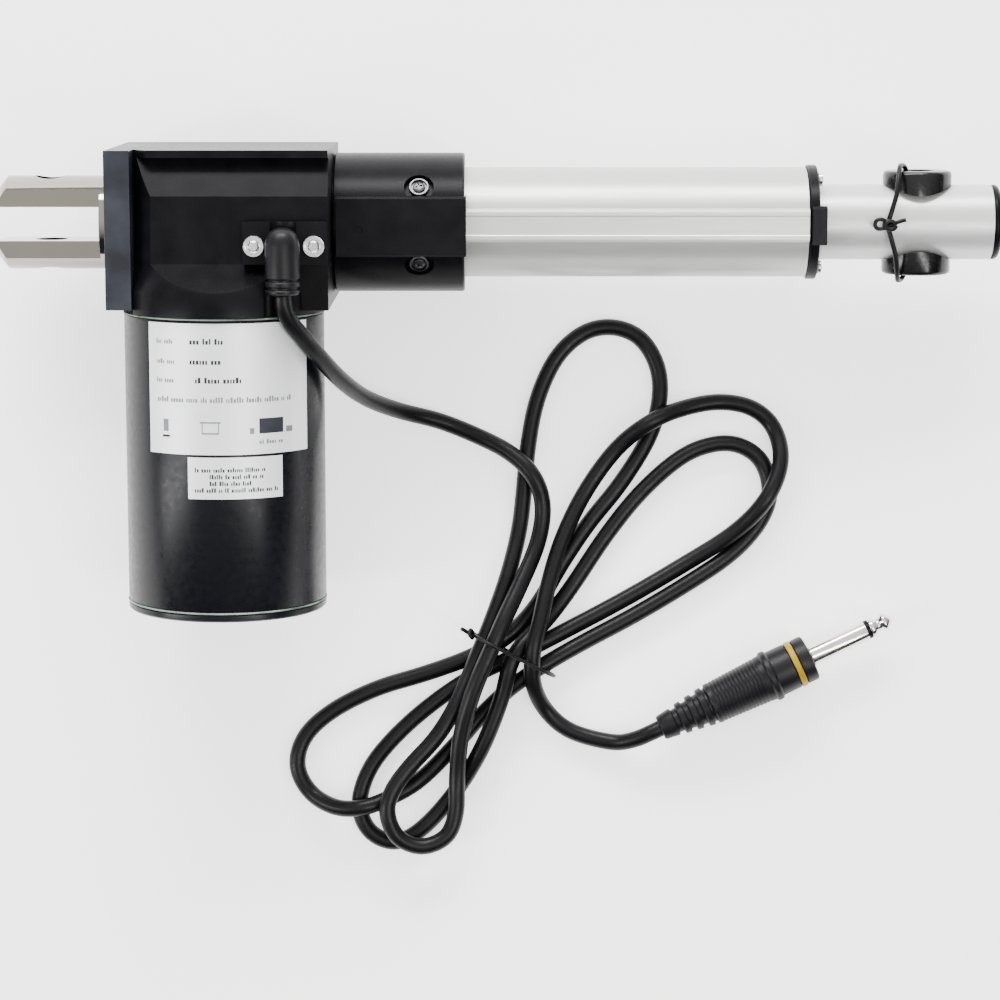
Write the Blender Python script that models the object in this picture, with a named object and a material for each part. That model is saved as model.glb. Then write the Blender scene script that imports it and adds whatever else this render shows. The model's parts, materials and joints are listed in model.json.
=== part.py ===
"""Linear actuator: DC motor, worm reduction, leadscrew drive and its lead with a jack plug.

Every solid is drawn in the actuator's own frame, in mm: x runs along the spindle from the
rear pin (0) to the front pin (278), y points away from the motor, z out of the gear case.
The whole actuator is then tilted about X, as it rests on its gear case and motor end.
"""
import math

import bmesh
import bpy
from mathutils import Matrix, Vector

MM = 0.001
REST_TILT = math.atan2(46.6 - 31.5, 121.0 - 24.6)  # gear case edge and motor rim both touch
FRONT_PIN_X = 278.0
MOTOR_X, MOTOR_Z = 57.0, 22.0  # motor axis runs along y through here
LEAD = 6.0
SCREW_ROOT, SCREW_CREST = 5.0, 7.0
GEAR_MODULE, WHEEL_TEETH = 1.1, 30
WORM_PITCH_R = 5.5
WORM_STEP = math.pi * GEAR_MODULE
TUBE_OUT, TUBE_IN = 17.5, 15.0
ROD_OUT, ROD_IN = 12.0, 10.0
CORD_R = 2.75

for old in list(bpy.data.objects):
    bpy.data.objects.remove(old, do_unlink=True)
scene = bpy.context.scene
world_parts, actuator_parts = [], []


def place(axis, at, along, radius, angle):
    """Point on a circle round an axis, right-handed about +axis."""
    c, s = radius * math.cos(angle), radius * math.sin(angle)
    if axis == "X":
        return (along, at[0] + c, at[1] + s)
    if axis == "Y":
        return (at[0] + s, along, at[1] + c)
    return (at[0] + c, at[1] + s, along)


def solid(name, verts, faces):
    mesh = bpy.data.meshes.new(name)
    bm = bmesh.new()
    made = [bm.verts.new(v) for v in verts]
    for face in faces:
        bm.faces.new([made[i] for i in face])
    bmesh.ops.recalc_face_normals(bm, faces=bm.faces)
    bm.to_mesh(mesh)
    bm.free()
    obj = bpy.data.objects.new(name, mesh)
    scene.collection.objects.link(obj)
    return obj


def turned(name, profile, axis="X", at=(0, 0), steps=40):
    """Solid turned from (along, radius) points; a zero radius lies on the axis."""
    verts, rings = [], []
    for along, radius in profile:
        if radius == 0:
            rings.append([len(verts)] * steps)
            verts.append(place(axis, at, along, 0, 0))
        else:
            rings.append(list(range(len(verts), len(verts) + steps)))
            verts += [place(axis, at, along, radius, 2 * math.pi * k / steps) for k in range(steps)]
    faces = []
    for i, ring in enumerate(rings):
        after = rings[(i + 1) % len(rings)]
        for k in range(steps):
            n = (k + 1) % steps
            face = list(dict.fromkeys([ring[k], ring[n], after[n], after[k]]))
            if len(face) > 2:
                faces.append(face)
    return solid(name, verts, faces)


def rod(name, a, b, radius, axis="X", at=(0, 0), steps=40):
    return turned(name, [(a, 0), (a, radius), (b, radius), (b, 0)], axis, at, steps)


def pipe(name, a, b, inner, outer, axis="X", at=(0, 0), steps=40):
    return turned(name, [(a, inner), (a, outer), (b, outer), (b, inner)], axis, at, steps)


def prism(name, outline, a, b, axis="X"):
    """Solid swept along an axis from an outline: (y, z) for X, (x, z) for Y, (x, y) for Z."""
    n = len(outline)
    if axis == "X":
        verts = [(s, u, v) for s in (a, b) for u, v in outline]
    elif axis == "Y":
        verts = [(u, s, v) for s in (a, b) for u, v in outline]
    else:
        verts = [(u, v, s) for s in (a, b) for u, v in outline]
    sides = [[i, (i + 1) % n, n + (i + 1) % n, n + i] for i in range(n)]
    return solid(name, verts, sides + [list(range(n)), list(range(n, 2 * n))])


def box(name, x0, x1, y0, y1, z0, z1):
    return prism(name, [(y0, z0), (y1, z0), (y1, z1), (y0, z1)], x0, x1)


def thread(name, start, turns, lead, width, top, root, crest, axis="X", at=(0, 0), steps=10):
    """Right-hand thread with its core. The tooth is `width` at the root and `top` at the crest."""
    side = (width - top) / 2
    shape = [(0, root), (side, crest), (side + top, crest), (width, root)]
    last = turns * steps
    verts = []
    for j in range(last + 1):
        base = start + lead * j / steps
        verts += [place(axis, at, base + ds, r, 2 * math.pi * j / steps) for ds, r in shape]
    faces = []
    for j in range(last):
        for c in range(3):
            faces.append([4 * j + c, 4 * j + c + 1, 4 * j + c + 5, 4 * j + c + 4])
        if j < last - steps:
            m = 4 * (j + steps)
            faces.append([4 * j + 3, m, m + 4, 4 * j + 7])
    low, high = len(verts), len(verts) + 1
    verts.append(place(axis, at, start + lead / 2, 0, 0))
    verts.append(place(axis, at, start + lead * (turns - 0.5) + width, 0, 0))
    rim = [4 * j for j in range(steps + 1)] + [3, 2, 1]
    faces += [[low, rim[i], rim[(i + 1) % len(rim)]] for i in range(len(rim))]
    rim = [4 * j + 3 for j in range(last - steps, last + 1)]
    rim += [4 * last + 2, 4 * last + 1, 4 * last]
    faces += [[high, rim[i], rim[(i + 1) % len(rim)]] for i in range(len(rim))]
    return solid(name, verts, faces)


def combine(target, operation, tools):
    """Boolean of each tool on the target; the tools are used up."""
    for tool in tools:
        step = target.modifiers.new(operation.title(), "BOOLEAN")
        step.solver, step.operation, step.object = "EXACT", operation, tool
    bpy.context.view_layer.update()
    shown = target.evaluated_get(bpy.context.evaluated_depsgraph_get())
    mesh = bpy.data.meshes.new_from_object(shown)
    target.modifiers.clear()
    before, target.data = target.data, mesh
    bpy.data.meshes.remove(before)
    mesh.name = target.name
    for tool in tools:
        used = tool.data
        bpy.data.objects.remove(tool, do_unlink=True)
        bpy.data.meshes.remove(used)
    return target


def cut(target, *tools):
    return combine(target, "DIFFERENCE", tools)


def join(target, *tools):
    return combine(target, "UNION", tools)


materials = {}


def finish(obj, colour, metallic=0.0, rough=0.5, origin=(0, 0, 0), world=False):
    """Own material, metres, and the object's origin on the axis that it turns or slides on."""
    look = bpy.data.materials.new(obj.name)
    look.use_nodes = True
    shader = look.node_tree.nodes["Principled BSDF"]
    shader.inputs["Base Color"].default_value = (*colour, 1)
    shader.inputs["Metallic"].default_value = metallic
    shader.inputs["Roughness"].default_value = rough
    obj.data.materials.clear()
    obj.data.materials.append(look)
    if obj.type == "MESH":
        obj.data.transform(Matrix.Scale(MM, 4) @ Matrix.Translation(-Vector(origin)))
    obj.location = Vector(origin) * MM
    (world_parts if world else actuator_parts).append(obj)
    return obj


BLACK, DARK, STEEL = (0.018, 0.019, 0.021), (0.05, 0.05, 0.055), (0.62, 0.62, 0.63)
CHROME, ALU, BRONZE = (0.8, 0.8, 0.82), (0.72, 0.73, 0.74), (0.55, 0.36, 0.17)
COPPER, WHITE = (0.72, 0.33, 0.16), (0.78, 0.8, 0.78)
SPINDLE = (0, 0, 0)
MOTOR = (MOTOR_X, 0, MOTOR_Z)
M = (MOTOR_X, MOTOR_Z)


def screw(name, seat, head_h, head_r, shank_r, shank, axis, at, up, colour=STEEL):
    """Screw with a recessed head: `up` is +1 when the head faces +axis."""
    body = turned(name, [
        (seat - up * shank, 0), (seat - up * (shank - 0.6), shank_r),
        (seat, shank_r), (seat, head_r), (seat + up * head_h * 0.7, head_r),
        (seat + up * head_h, head_r * 0.86), (seat + up * head_h, 0.3 * head_r),
        (seat + up * head_h * 0.35, 0.3 * head_r), (seat + up * head_h * 0.35, 0)], axis, at, 10)
    return finish(body, colour, 1.0, 0.3)


# --- gear case, its cover and the rear clevis ---
cover_holes = [(y, z) for y in (-18.0, 18.0) for z in (-20.0, 26.0)]
cover = box("rear_cover", 22, 30, -24.6, 24.6, -24.6, 42)
cut(cover, rod("c", 10, 35, 15.4, steps=40),
    *[rod("c", 21, 25, 3.3, at=p, steps=12) for p in cover_holes],
    *[rod("c", 24, 31, 1.8, at=p, steps=10) for p in cover_holes])
finish(cover, (0.03, 0.032, 0.038), 0.1, 0.4)
for i, p in enumerate(cover_holes):
    screw(f"cover_screw_{i + 1}", 24.7, 2.4, 3.0, 1.5, 18.3, "X", p, -1)

case = box("gearbox_housing", 30.3, 57.5, -24.6, 24.6, -24.6, 22)
crown = turned("j", [(-26, 0), (-26, 32.6), (-19, 32.6), (-10.3, 28.9), (24.6, 28.6), (24.6, 0)],
               "Y", M, 52)
join(case, box("j", 57, 91, -24.6, 24.6, -24.6, 42), crown)
cut(case, box("c", 0, 30.3, -40, 40, -40, 70),
    prism("c", [(-18.9, 55.4), (-10.3, 42), (10.6, 42), (22.3, 35.3), (22.3, 40), (30, 40),
                (30, 70), (-18.9, 70)], 20, 95))
cut(case, rod("c", 20, 66, 19.5, steps=40), rod("c", 65, 75, 14.2),
    rod("c", 74, 95, 8.5), rod("c", 84, 95, 20.0, steps=40))
cut(case, rod("c", -30, 19.3, 8.5, "Y", M, 32), rod("c", -30, -20.7, 26.0, "Y", M, 44),
    rod("c", 5, 50, 3.2, "Z", (77.5, -4), 20), rod("c", -30, 4, 5.9, "Y", (77.5, 51), 24),
    *[rod("c", 33, 50, 1.7, "Z", p, 14) for p in ((68.5, -4.3), (86.9, -4.3))],
    *[rod("c", 25, 43.5, 1.8, at=p, steps=10) for p in cover_holes])
finish(case, BLACK, 0.1, 0.35)

clevis = turned("rear_clevis", [(-16, 0), (-16, 12.2), (-13.3, 15), (30.4, 15), (30.4, 19),
                                (33.6, 19), (33.6, 9), (26, 9), (26, 0)], steps=40)
cut(clevis, box("c", -20, 16.5, -5.4, 5.4, -20, 20), box("c", -20, 16.8, -20, 20, 10.3, 20),
    box("c", -20, 16.8, -20, 20, -20, -10.3))
cut(clevis, rod("c", -20, 20, 5.1, "Y", (0, 0), 32))
finish(clevis, CHROME, 1.0, 0.1)
finish(pipe("rear_bush", 26.3, 33.4, 5.3, 8.7, steps=24), BRONZE, 0.8, 0.4)
finish(pipe("spindle_bearing", 66.3, 74.7, 6.3, 13.9), STEEL, 1.0, 0.25)

# --- spindle ---
core = turned("lead_screw", [(28, 0), (28, 5), (36, 5), (36, 6), (76, 6), (76, 8), (78.5, 8),
                             (78.5, 4.5), (219.3, 4.5), (219.3, 4), (224, 4), (224, 0)], steps=24)
SCREW_START = 76.4
join(core, thread("j", SCREW_START, 23, LEAD, 3.4, 1.8, SCREW_ROOT, SCREW_CREST))
finish(core, STEEL, 1.0, 0.3, SPINDLE)

teeth = []
for end in (51.0, 63.0):
    ring = []
    for k in range(WHEEL_TEETH):
        middle = math.pi / 2 + 2 * math.pi * (k + 0.5) / WHEEL_TEETH
        middle += (end - MOTOR_X) * WORM_STEP / (2 * math.pi * WORM_PITCH_R * 16.5)
        for r, w in ((15.1, -1.05), (16.5, -0.68), (17.6, -0.25), (17.6, 0.25), (16.5, 0.68), (15.1, 1.05)):
            ring.append(place("X", (0, 0), end, r, middle + w / r))
    teeth.append(ring)
n = 6 * WHEEL_TEETH
faces = [[i, (i + 1) % n, n + (i + 1) % n, n + i] for i in range(n)]
wheel = solid("worm_wheel", teeth[0] + teeth[1], faces + [list(range(n)), list(range(n, 2 * n))])
cut(wheel, rod("c", 45, 70, 6.3, steps=24))
finish(wheel, BRONZE, 0.6, 0.4, SPINDLE)
finish(pipe("end_stop_washer", 219.6, 222.5, 4.3, 8.5, steps=24), STEEL, 1.0, 0.35, SPINDLE)

# --- socket, outer tube, front ring ---
socket = turned("tube_socket", [(84.3, 15.4), (84.3, 19.7), (91.3, 19.7), (91.3, 22.2),
                                (132.8, 22.2), (132.8, 15.4)], steps=40)
join(socket, box("j", 92.5, 133.4, -9.4, 9.4, 16.5, 24.2))
socket_angles = [math.radians(a) for a in (36, -36)]
cut(socket, rod("c", 80, 100, 15.4, steps=40), rod("c", 99.9, 140, 17.8, steps=40),
    box("c", 100, 140, -5.6, 5.6, 0, 19.1), rod("c", 23.4, 30, 1.4, "Z", (99.6, -1), 14))


def radial(name, r0, r1, radius, angle, x, steps=16):
    tool = rod(name, r0, r1, radius, "Z", (0, 0), steps)
    tool.data.transform(Matrix.Translation((x, 0, 0)) @ Matrix.Rotation(-angle, 4, "X"))
    return tool


cut(socket, *[radial("c", 20.3, 30, 4.0, a, 118.5) for a in socket_angles],
    *[radial("c", 12, 24, 1.9, a, 118.5, 14) for a in socket_angles])
finish(socket, BLACK, 0.1, 0.35)
for i, a in enumerate(socket_angles):
    body = turned(f"socket_screw_{i + 1}", [
        (15.6, 0), (15.6, 1.2), (16.4, 1.6), (20.6, 1.6), (20.6, 3.5), (22.0, 3.5), (22.7, 2.6),
        (22.7, 1.0), (21.5, 1.0), (21.5, 0)], "Z", (0, 0), 12)
    body.data.transform(Matrix.Translation((118.5, 0, 0)) @ Matrix.Rotation(-a, 4, "X"))
    finish(body, STEEL, 1.0, 0.25)

bosses = [(y, z) for y in (-14.0, 14.0) for z in (-6.9, 6.9)]
tube = rod("outer_tube", 100.3, 242, TUBE_OUT, steps=48)
join(tube, prism("j", [(-5.3, 15), (5.3, 15), (5.3, 17.2), (4.3, 18.8), (-4.3, 18.8), (-5.3, 17.2)],
                 100.3, 242))
hollow = rod("c", 90, 250, TUBE_IN, steps=48)
join(hollow, box("j", 90, 250, -3.6, 3.6, 10, 17.3))
cut(hollow, *[rod("c", 80, 260, 2.0, at=p, steps=10) for p in bosses])
cut(tube, hollow)
cut(tube, *[rod("c", 90, 250, 1.3, at=p, steps=10) for p in bosses],
    *[radial("c", 12, 20, 1.9, a, 118.5, 14) for a in socket_angles])
finish(tube, ALU, 1.0, 0.35)

ring = turned("front_ring", [(242.3, 13.8), (242.3, 18.3), (245.4, 18.3), (245.4, 12.5),
                             (244.2, 12.5), (244.2, 13.8)], steps=40)
cut(ring, *[rod("c", 240, 250, 1.4, at=p, steps=10) for p in bosses])
join(ring, box("j", 242.8, 247.4, -6.1, 6.1, 14.3, 20))
finish(ring, BLACK, 0.0, 0.4)
for i, p in enumerate(bosses):
    screw(f"ring_screw_{i + 1}", 245.7, 1.3, 2.2, 1.0, 9.7, "X", p, 1)
finish(pipe("wiper_seal", 242.5, 243.9, 12.3, 13.5, steps=40), DARK, 0, 0.6)
bush = pipe("rod_guide_bush", 226, 241.5, 12.35, 14.7, steps=40)
cut(bush, *[rod("c", 220, 250, 2.3, at=p, steps=10) for p in bosses],
    box("c", 220, 250, -4, 4, 12.8, 20))
finish(bush, WHITE, 0, 0.5)
finish(box("switch_strip", 112, 236, -3.2, 3.2, 15.9, 17), (0.05, 0.22, 0.1), 0, 0.4)
finish(box("limit_switch_rear", 115, 125, -2.9, 2.9, 13.2, 15.6), DARK, 0, 0.5)
finish(box("limit_switch_front", 224, 234, -2.9, 2.9, 13.2, 15.6), DARK, 0, 0.5)

# --- rod: nut, inner tube, front bushes, cap, shipping tie ---
finish(cut(pipe("inner_tube", 104, 301.6, ROD_IN, ROD_OUT, steps=40),
           rod("c", -20, 20, 7.3, "Y", (FRONT_PIN_X, 0), 32)), ALU, 1.0, 0.45)
nut = turned("drive_nut", [(86, 0), (86, 14.6), (103.7, 14.6), (103.7, 9.7), (116, 9.7), (116, 0)],
             steps=36)
cut(nut, *[rod("c", 80, 110, 2.3, at=p, steps=10) for p in bosses],
    box("c", 80, 110, -4, 4, 12.8, 20),
    thread("c", SCREW_START - 0.4, 9, LEAD, 4.2, 2.6, SCREW_ROOT + 0.35, SCREW_CREST + 0.4))
finish(nut, WHITE, 0, 0.45)
for name, up in (("front_bush_upper", 1), ("front_bush_lower", -1)):
    flange = turned(name, [(up * 5.5, 0), (up * 5.5, 11), (up * 15.7, 11), (up * 16.5, 10.2),
                           (up * 16.5, 0)], "Y", (FRONT_PIN_X, 0), 36)
    cut(flange, rod("c", 250, 300, 19.2, at=(-6.9 * up, 0), steps=36))
    join(flange, turned("j", [(up * 6.5, 0), (up * 6.5, 7), (up * 14, 7), (up * 14, 0)], "Y",
                        (FRONT_PIN_X, 0), 32))
    cut(flange, rod("c", -20, 20, 5.1, "Y", (FRONT_PIN_X, 0), 32))
    finish(flange, BLACK, 0, 0.2)
finish(turned("rod_end_cap", [(290, 0), (290, 9.7), (301.9, 9.7), (301.9, 12), (303.2, 12),
                              (304.2, 10.8), (304.2, 0)], steps=40), BLACK, 0, 0.35)


def smooth(points, dense, closed=False):
    """Points on a smooth curve through the route points, `dense` to each span."""
    pts = [Vector(p) for p in points]
    n = len(pts)
    found = []
    for i in range(n if closed else n - 1):
        p = [pts[(i + k) % n] if closed else pts[min(max(i + k, 0), n - 1)] for k in (-1, 0, 1, 2)]
        for s in range(dense):
            t = s / dense
            found.append(0.5 * (2 * p[1] + (p[2] - p[0]) * t
                                + (2 * p[0] - 5 * p[1] + 4 * p[2] - p[3]) * t * t
                                + (3 * p[1] - p[0] - 3 * p[2] + p[3]) * t ** 3))
    return found if closed else found + [pts[-1]]


def wire(name, points, radius, closed=False, resolution=2):
    curve = bpy.data.curves.new(name, "CURVE")
    curve.dimensions = "3D"
    line = curve.splines.new("POLY")
    line.points.add(len(points) - 1)
    for made, p in zip(line.points, points):
        made.co = (*(Vector(p) * MM), 1)
    line.use_cyclic_u = closed
    curve.bevel_depth = radius * MM
    curve.bevel_resolution = resolution
    curve.use_fill_caps = True
    obj = bpy.data.objects.new(name, curve)
    scene.collection.objects.link(obj)
    return obj


HALF_TIE = [(267.3, 0, 13.9), (268.2, 4, 14.2), (269.8, 9.5, 13.2), (270.6, 14.5, 11.4),
            (271.2, 17.6, 8.6), (272.0, 18.3, 5.2), (273.2, 18.1, 2.6), (274.1, 17.0, 0.8),
            (274.5, 14.5, 0), (274.5, 0, 0)]
tie_route = HALF_TIE + [(x, -y, z) for x, y, z in HALF_TIE[-2:0:-1]]
finish(wire("wire_tie", smooth(tie_route, 2, True), 0.8, True, 1), BLACK, 0, 0.5)

# --- motor ---
finish(pipe("motor_front_plate", -25.7, -21, 8.3, 25.6, "Y", M, 36), STEEL, 1, 0.4)
finish(pipe("rotor_bearing_front", -25.5, -21.2, 4.3, 8, "Y", M, 20), STEEL, 1, 0.25)
finish(pipe("worm_tip_bush", 13.5, 19, 4.3, 8.2, "Y", M, 20), BRONZE, 0.8, 0.4)
finish(pipe("collar_gasket", -26.75, -26.25, 29, 31.7, "Y", M, 44), (0.7, 0.75, 0.68), 0, 0.6)
finish(pipe("motor_can", -117.6, -27, 29.5, 31.5, "Y", M, 44), BLACK, 0.2, 0.15)
finish(pipe("end_gasket", -118.35, -117.85, 29, 31.7, "Y", M, 44), (0.7, 0.75, 0.68), 0, 0.6)
finish(turned("motor_end_cap", [(-121, 0), (-121, 30.7), (-120.2, 31.5), (-118.6, 31.5),
                                (-118.6, 28.6), (-115, 28.6), (-115, 10), (-110, 10), (-110, 8.3),
                                (-115.3, 8.3), (-115.3, 5), (-117, 5), (-117, 0)], "Y", M, 44),
       BLACK, 0.1, 0.25)
finish(pipe("rotor_bearing_rear", -115, -110.3, 4.3, 8, "Y", M, 20), STEEL, 1, 0.25)
for name, turn in (("magnet_left", -90), ("magnet_right", 90)):
    arc = [math.radians(turn + a) for a in range(-70, 71, 14)]
    outline = [(MOTOR_X + 29.2 * math.sin(a), MOTOR_Z + 29.2 * math.cos(a)) for a in arc]
    outline += [(MOTOR_X + 22 * math.sin(a), MOTOR_Z + 22 * math.cos(a)) for a in reversed(arc)]
    finish(prism(name, outline, -90, -40, "Y"), DARK, 0.3, 0.6)
holder = pipe("brush_holder", -96, -94, 13.5, 29.2, "Y", M, 36)
join(holder, *[box("j", MOTOR_X + s * 17.5 - 5, MOTOR_X + s * 17.5 + 5, -107.5, -94.5,
                   MOTOR_Z - 5, MOTOR_Z + 5) for s in (-1, 1)])
cut(holder, *[box("c", MOTOR_X + s * 16 - 5, MOTOR_X + s * 16 + 5, -106.3, -97.7,
                  MOTOR_Z - 3.3, MOTOR_Z + 3.3) for s in (-1, 1)])
finish(holder, (0.35, 0.2, 0.1), 0, 0.6)
for name, s in (("brush_left", -1), ("brush_right", 1)):
    finish(box(name, *sorted((MOTOR_X + s * 10.4, MOTOR_X + s * 20)), -106, -98,
               MOTOR_Z - 3, MOTOR_Z + 3), DARK, 0.2, 0.7)
shaft = rod("worm_shaft", -114, 19, 4, "Y", M, 18)
WORM_START = -3.5 * WORM_STEP - 1.15
join(shaft, thread("j", WORM_START, 7, WORM_STEP, 2.3, 0.6, 4.2, 6.6, "Y", M))
finish(shaft, STEEL, 1, 0.3, MOTOR)
outline = []
for k in range(10):
    for r, a in ((20, -14.5), (20, -7), (20, 0), (20, 7), (20, 14.5), (11, 12), (11, 24)):
        turn = math.radians(36 * k + a)
        outline.append((MOTOR_X + r * math.sin(turn), MOTOR_Z + r * math.cos(turn)))
finish(cut(prism("armature_core", outline, -85, -45, "Y"), rod("c", -90, -40, 4.3, "Y", M, 18)),
       (0.3, 0.3, 0.32), 0.9, 0.5, MOTOR)
for name, a, b in (("winding_front", -33, -44.6), ("winding_rear", -93.5, -85.4)):
    s = 1 if name == "winding_front" else -1
    near, far = (b, a) if s == 1 else (b, a)
    finish(turned(name, [(near, 5), (near, 18), ((near + far) / 2, 18), (far, 13), (far, 5)],
                  "Y", M, 24), COPPER, 0.9, 0.4, MOTOR)
finish(pipe("commutator", -108, -97, 4.3, 10, "Y", M, 24), COPPER, 1, 0.3, MOTOR)

# --- cable gland ---
gland = box("gland_plate", 65, 90.9, -10.0, 3.1, 42.3, 47)
cut(gland, rod("c", -20, 10, 5.7, "Y", (77.5, 51), 32), rod("c", 40, 50, 3.2, "Z", (77.5, -4), 20),
    *[rod("c", 40, 50, 1.9, "Z", p, 14) for p in ((68.5, -4.3), (86.9, -4.3))])
finish(gland, BLACK, 0, 0.4)
for i, p in enumerate(((68.5, -4.3), (86.9, -4.3))):
    screw(f"gland_screw_{i + 1}", 47.3, 2.2, 3.3, 1.4, 13, "Z", p, 1)
boot = turned("cable_boot", [(-19, 0), (-19, 4.6), (-18.3, 5.4), (-17.4, 5.4), (-17.2, 4.7),
                             (-16.6, 4.7), (-16.4, 5.4), (-14.9, 5.4), (-14.7, 4.7), (-14.1, 4.7),
                             (-13.9, 5.4), (-3.7, 5.4), (-1.0, 4.7), (0.9, 3.0), (1.7, 0)],
              "Y", (77.5, 51), 20)
join(boot, rod("j", 36, 48, 2.9, "Z", (77.5, -4), 20))
finish(boot, BLACK, 0, 0.55)

# --- lay the actuator down: origin under the middle of its bounding box ---
bpy.context.view_layer.update()
tilt = Matrix.Rotation(REST_TILT, 4, "X")
low, high = Vector((1e9,) * 3), Vector((-1e9,) * 3)
shown = bpy.context.evaluated_depsgraph_get()
for obj in actuator_parts:
    mesh = obj.evaluated_get(shown).to_mesh()
    for vertex in mesh.vertices:
        point = tilt @ (obj.location + vertex.co)
        low = Vector(map(min, low, point))
        high = Vector(map(max, high, point))
    obj.evaluated_get(shown).to_mesh_clear()
rest = bpy.data.objects.new("rest_pose", None)
scene.collection.objects.link(rest)
rest.matrix_world = Matrix.Translation((-(low.x + high.x) / 2, -(low.y + high.y) / 2, -low.z)) @ tilt
for obj in actuator_parts:
    obj.parent = rest

# --- the lead, tied in loose loops on the table, and its jack plug (world axes, mm) ---
ROUTE = [
    (-66.6, 22.8, 75.5), (-66.2, 19.0, 74.6), (-64.2, 14.6, 72.0), (-60.6, 10.2, 67.2),
    (-56.0, 4.6, 59.4), (-50.3, -1.7, 44.0), (-43.2, -6.8, 26.0), (-32.7, -10.5, 10.5),
    (-19.8, -13.6, 3.6), (-6.6, -18.9, 3.2), (3.3, -24.2, 6.6), (10.8, -31.5, 8.7), (14.1, -41.3, 7.0),
    (12.5, -53.4, 7.0), (6.9, -66.8, 11.0), (1.3, -78.7, 15.0), (-3.3, -89.4, 16.0),
    (-8.5, -101.5, 15.0), (-12.7, -116.4, 12.0), (-14.1, -130.8, 8.8), (-14.4, -142.0, 8.8),
    (-17.6, -150.0, 8.8), (-25.6, -153.3, 9.2), (-33.6, -150.0, 10.2), (-36.9, -142.0, 11.2),
    (-35.2, -134.8, 11.2), (-29.6, -127.0, 10.0), (-20.7, -117.3, 8.6), (-13.8, -105.9, 8.6),
    (-8.2, -92.7, 10.4), (-2.6, -79.0, 9.0), (2.6, -64.3, 6.5), (6.3, -49.5, 3.0), (7.9, -36.4, 2.8),
    (9.2, -22.2, 2.8), (12.2, -6.7, 2.8), (18.5, 7.2, 2.8), (27.4, 15.4, 2.8), (36.9, 17.4, 2.8),
    (45.8, 14.1, 2.8), (51.4, 5.8, 2.8), (52.8, -4.7, 2.8), (49.5, -18.2, 2.8), (39.9, -34.0, 2.8),
    (29.0, -47.6, 2.8), (19.8, -61.4, 2.8), (12.2, -74.3, 2.8), (2.6, -84.4, 4.4), (-9.9, -91.4, 4.0),
    (-25.1, -97.0, 2.8), (-40.2, -101.6, 2.8), (-54.4, -108.6, 2.8), (-64.0, -117.1, 2.8),
    (-66.9, -127.0, 2.8), (-62.6, -135.9, 2.8), (-54.3, -140.6, 6.0), (-45.2, -140.6, 8.3),
    (-36.4, -137.6, 5.6), (-26.4, -132.0, 2.8), (-14.8, -120.4, 2.8), (-4.3, -108.6, 2.8),
    (8.2, -97.9, 5.0), (25.2, -87.8, 3.2), (42.7, -78.5, 2.8), (59.7, -68.5, 2.8), (75.6, -57.9, 2.8),
    (85.4, -47.2, 2.8), (89.0, -37.0, 2.8), (86.4, -27.1, 2.8), (79.5, -21.8, 2.8), (70.6, -21.2, 2.8),
    (59.7, -25.5, 2.8), (46.5, -37.0, 2.8), (34.6, -51.8, 2.8), (23.8, -68.0, 2.8), (15.2, -79.2, 4.6),
    (4.6, -90.4, 10.4), (0.7, -104.2, 8.6), (-5.9, -121.1, 7.0), (-14.8, -135.9, 2.8),
    (-25.6, -147.9, 2.8), (-34.6, -152.4, 2.8), (-42.9, -148.9, 2.8), (-46.4, -140.2, 2.8),
    (-43.5, -129.3, 2.8), (-36.3, -119.4, 2.8), (-24.7, -108.6, 2.8), (-9.9, -98.3, 2.8),
    (6.6, -90.3, 4.6), (24.2, -81.3, 2.8), (42.5, -71.5, 2.8), (60.4, -61.0, 2.8), (76.8, -50.5, 5.4),
    (87.2, -39.6, 9.2), (92.3, -27.2, 7.0), (90.3, -15.9, 3.0), (83.1, -9.3, 2.8), (72.2, -7.3, 2.8),
    (60.5, -9.4, 5.0), (49.8, -13.8, 8.8), (38.8, -22.2, 5.5), (28.3, -36.4, 5.0), (21.0, -51.1, 7.0),
    (16.4, -65.2, 8.7), (13.1, -79.5, 11.5), (10.8, -88.6, 12.3), (10.8, -99.4, 9.6),
    (14.8, -108.5, 3.5), (23.1, -115.8, 2.8), (36.5, -119.4, 3.6), (43.6, -118.5, 6.6),
    (49.2, -116.1, 8.6), (53.1, -114.2, 8.8),
]


def evenly(points, count, bend_mm=9.0):
    """`count` of these points: spread by length, and closer together round bends."""
    travel = [0.0]
    for i in range(1, len(points)):
        step = points[i] - points[i - 1]
        turn = step.angle(points[i - 1] - points[i - 2]) if i > 1 else 0.0
        travel.append(travel[-1] + step.length + bend_mm * turn)
    found, at = [], 0
    for k in range(count):
        goal = travel[-1] * k / (count - 1)
        while at < len(travel) - 1 and travel[at] < goal - 1e-6:
            at += 1
        found.append(points[at])
    return found[:1] + [points[4]] + found[1:-1] + [points[-5]] + found[-1:]


lead = [Vector((p.x, p.y, max(p.z, 2.8))) for p in smooth(ROUTE, 8)]
finish(wire("power_cord", evenly(lead, 88), CORD_R, False, 2), BLACK, 0, 0.4, world=True)
TIE = [(-9.6, 9.7), (-8.6, 5.0), (-5.6, 1.5), (-2.0, 0.65), (5.0, 0.65), (12.9, 0.65), (16.2, 1.7),
       (17.8, 4.6), (17.0, 8.6), (14.6, 12.4), (10.8, 14.7), (6.0, 16.2), (1.6, 18.6),
       (-2.3, 19.8), (-6.3, 18.0), (-8.7, 14.0)]
band = [(x, -85.3 - (x + 5.5) * 0.5233, z) for x, z in TIE]
finish(wire("cord_tie", smooth(band, 2, True), 0.6, True, 1), BLACK, 0, 0.5, world=True)


def on_plug(name, profile, steps=32):
    piece = turned(name, profile, "X", (0, 0), steps)
    piece.data.transform(Matrix.Translation((53.4, -114.1, 8.8))
                         @ Matrix.Rotation(math.atan2(0.430, 0.903), 4, "Z"))
    return piece


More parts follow.
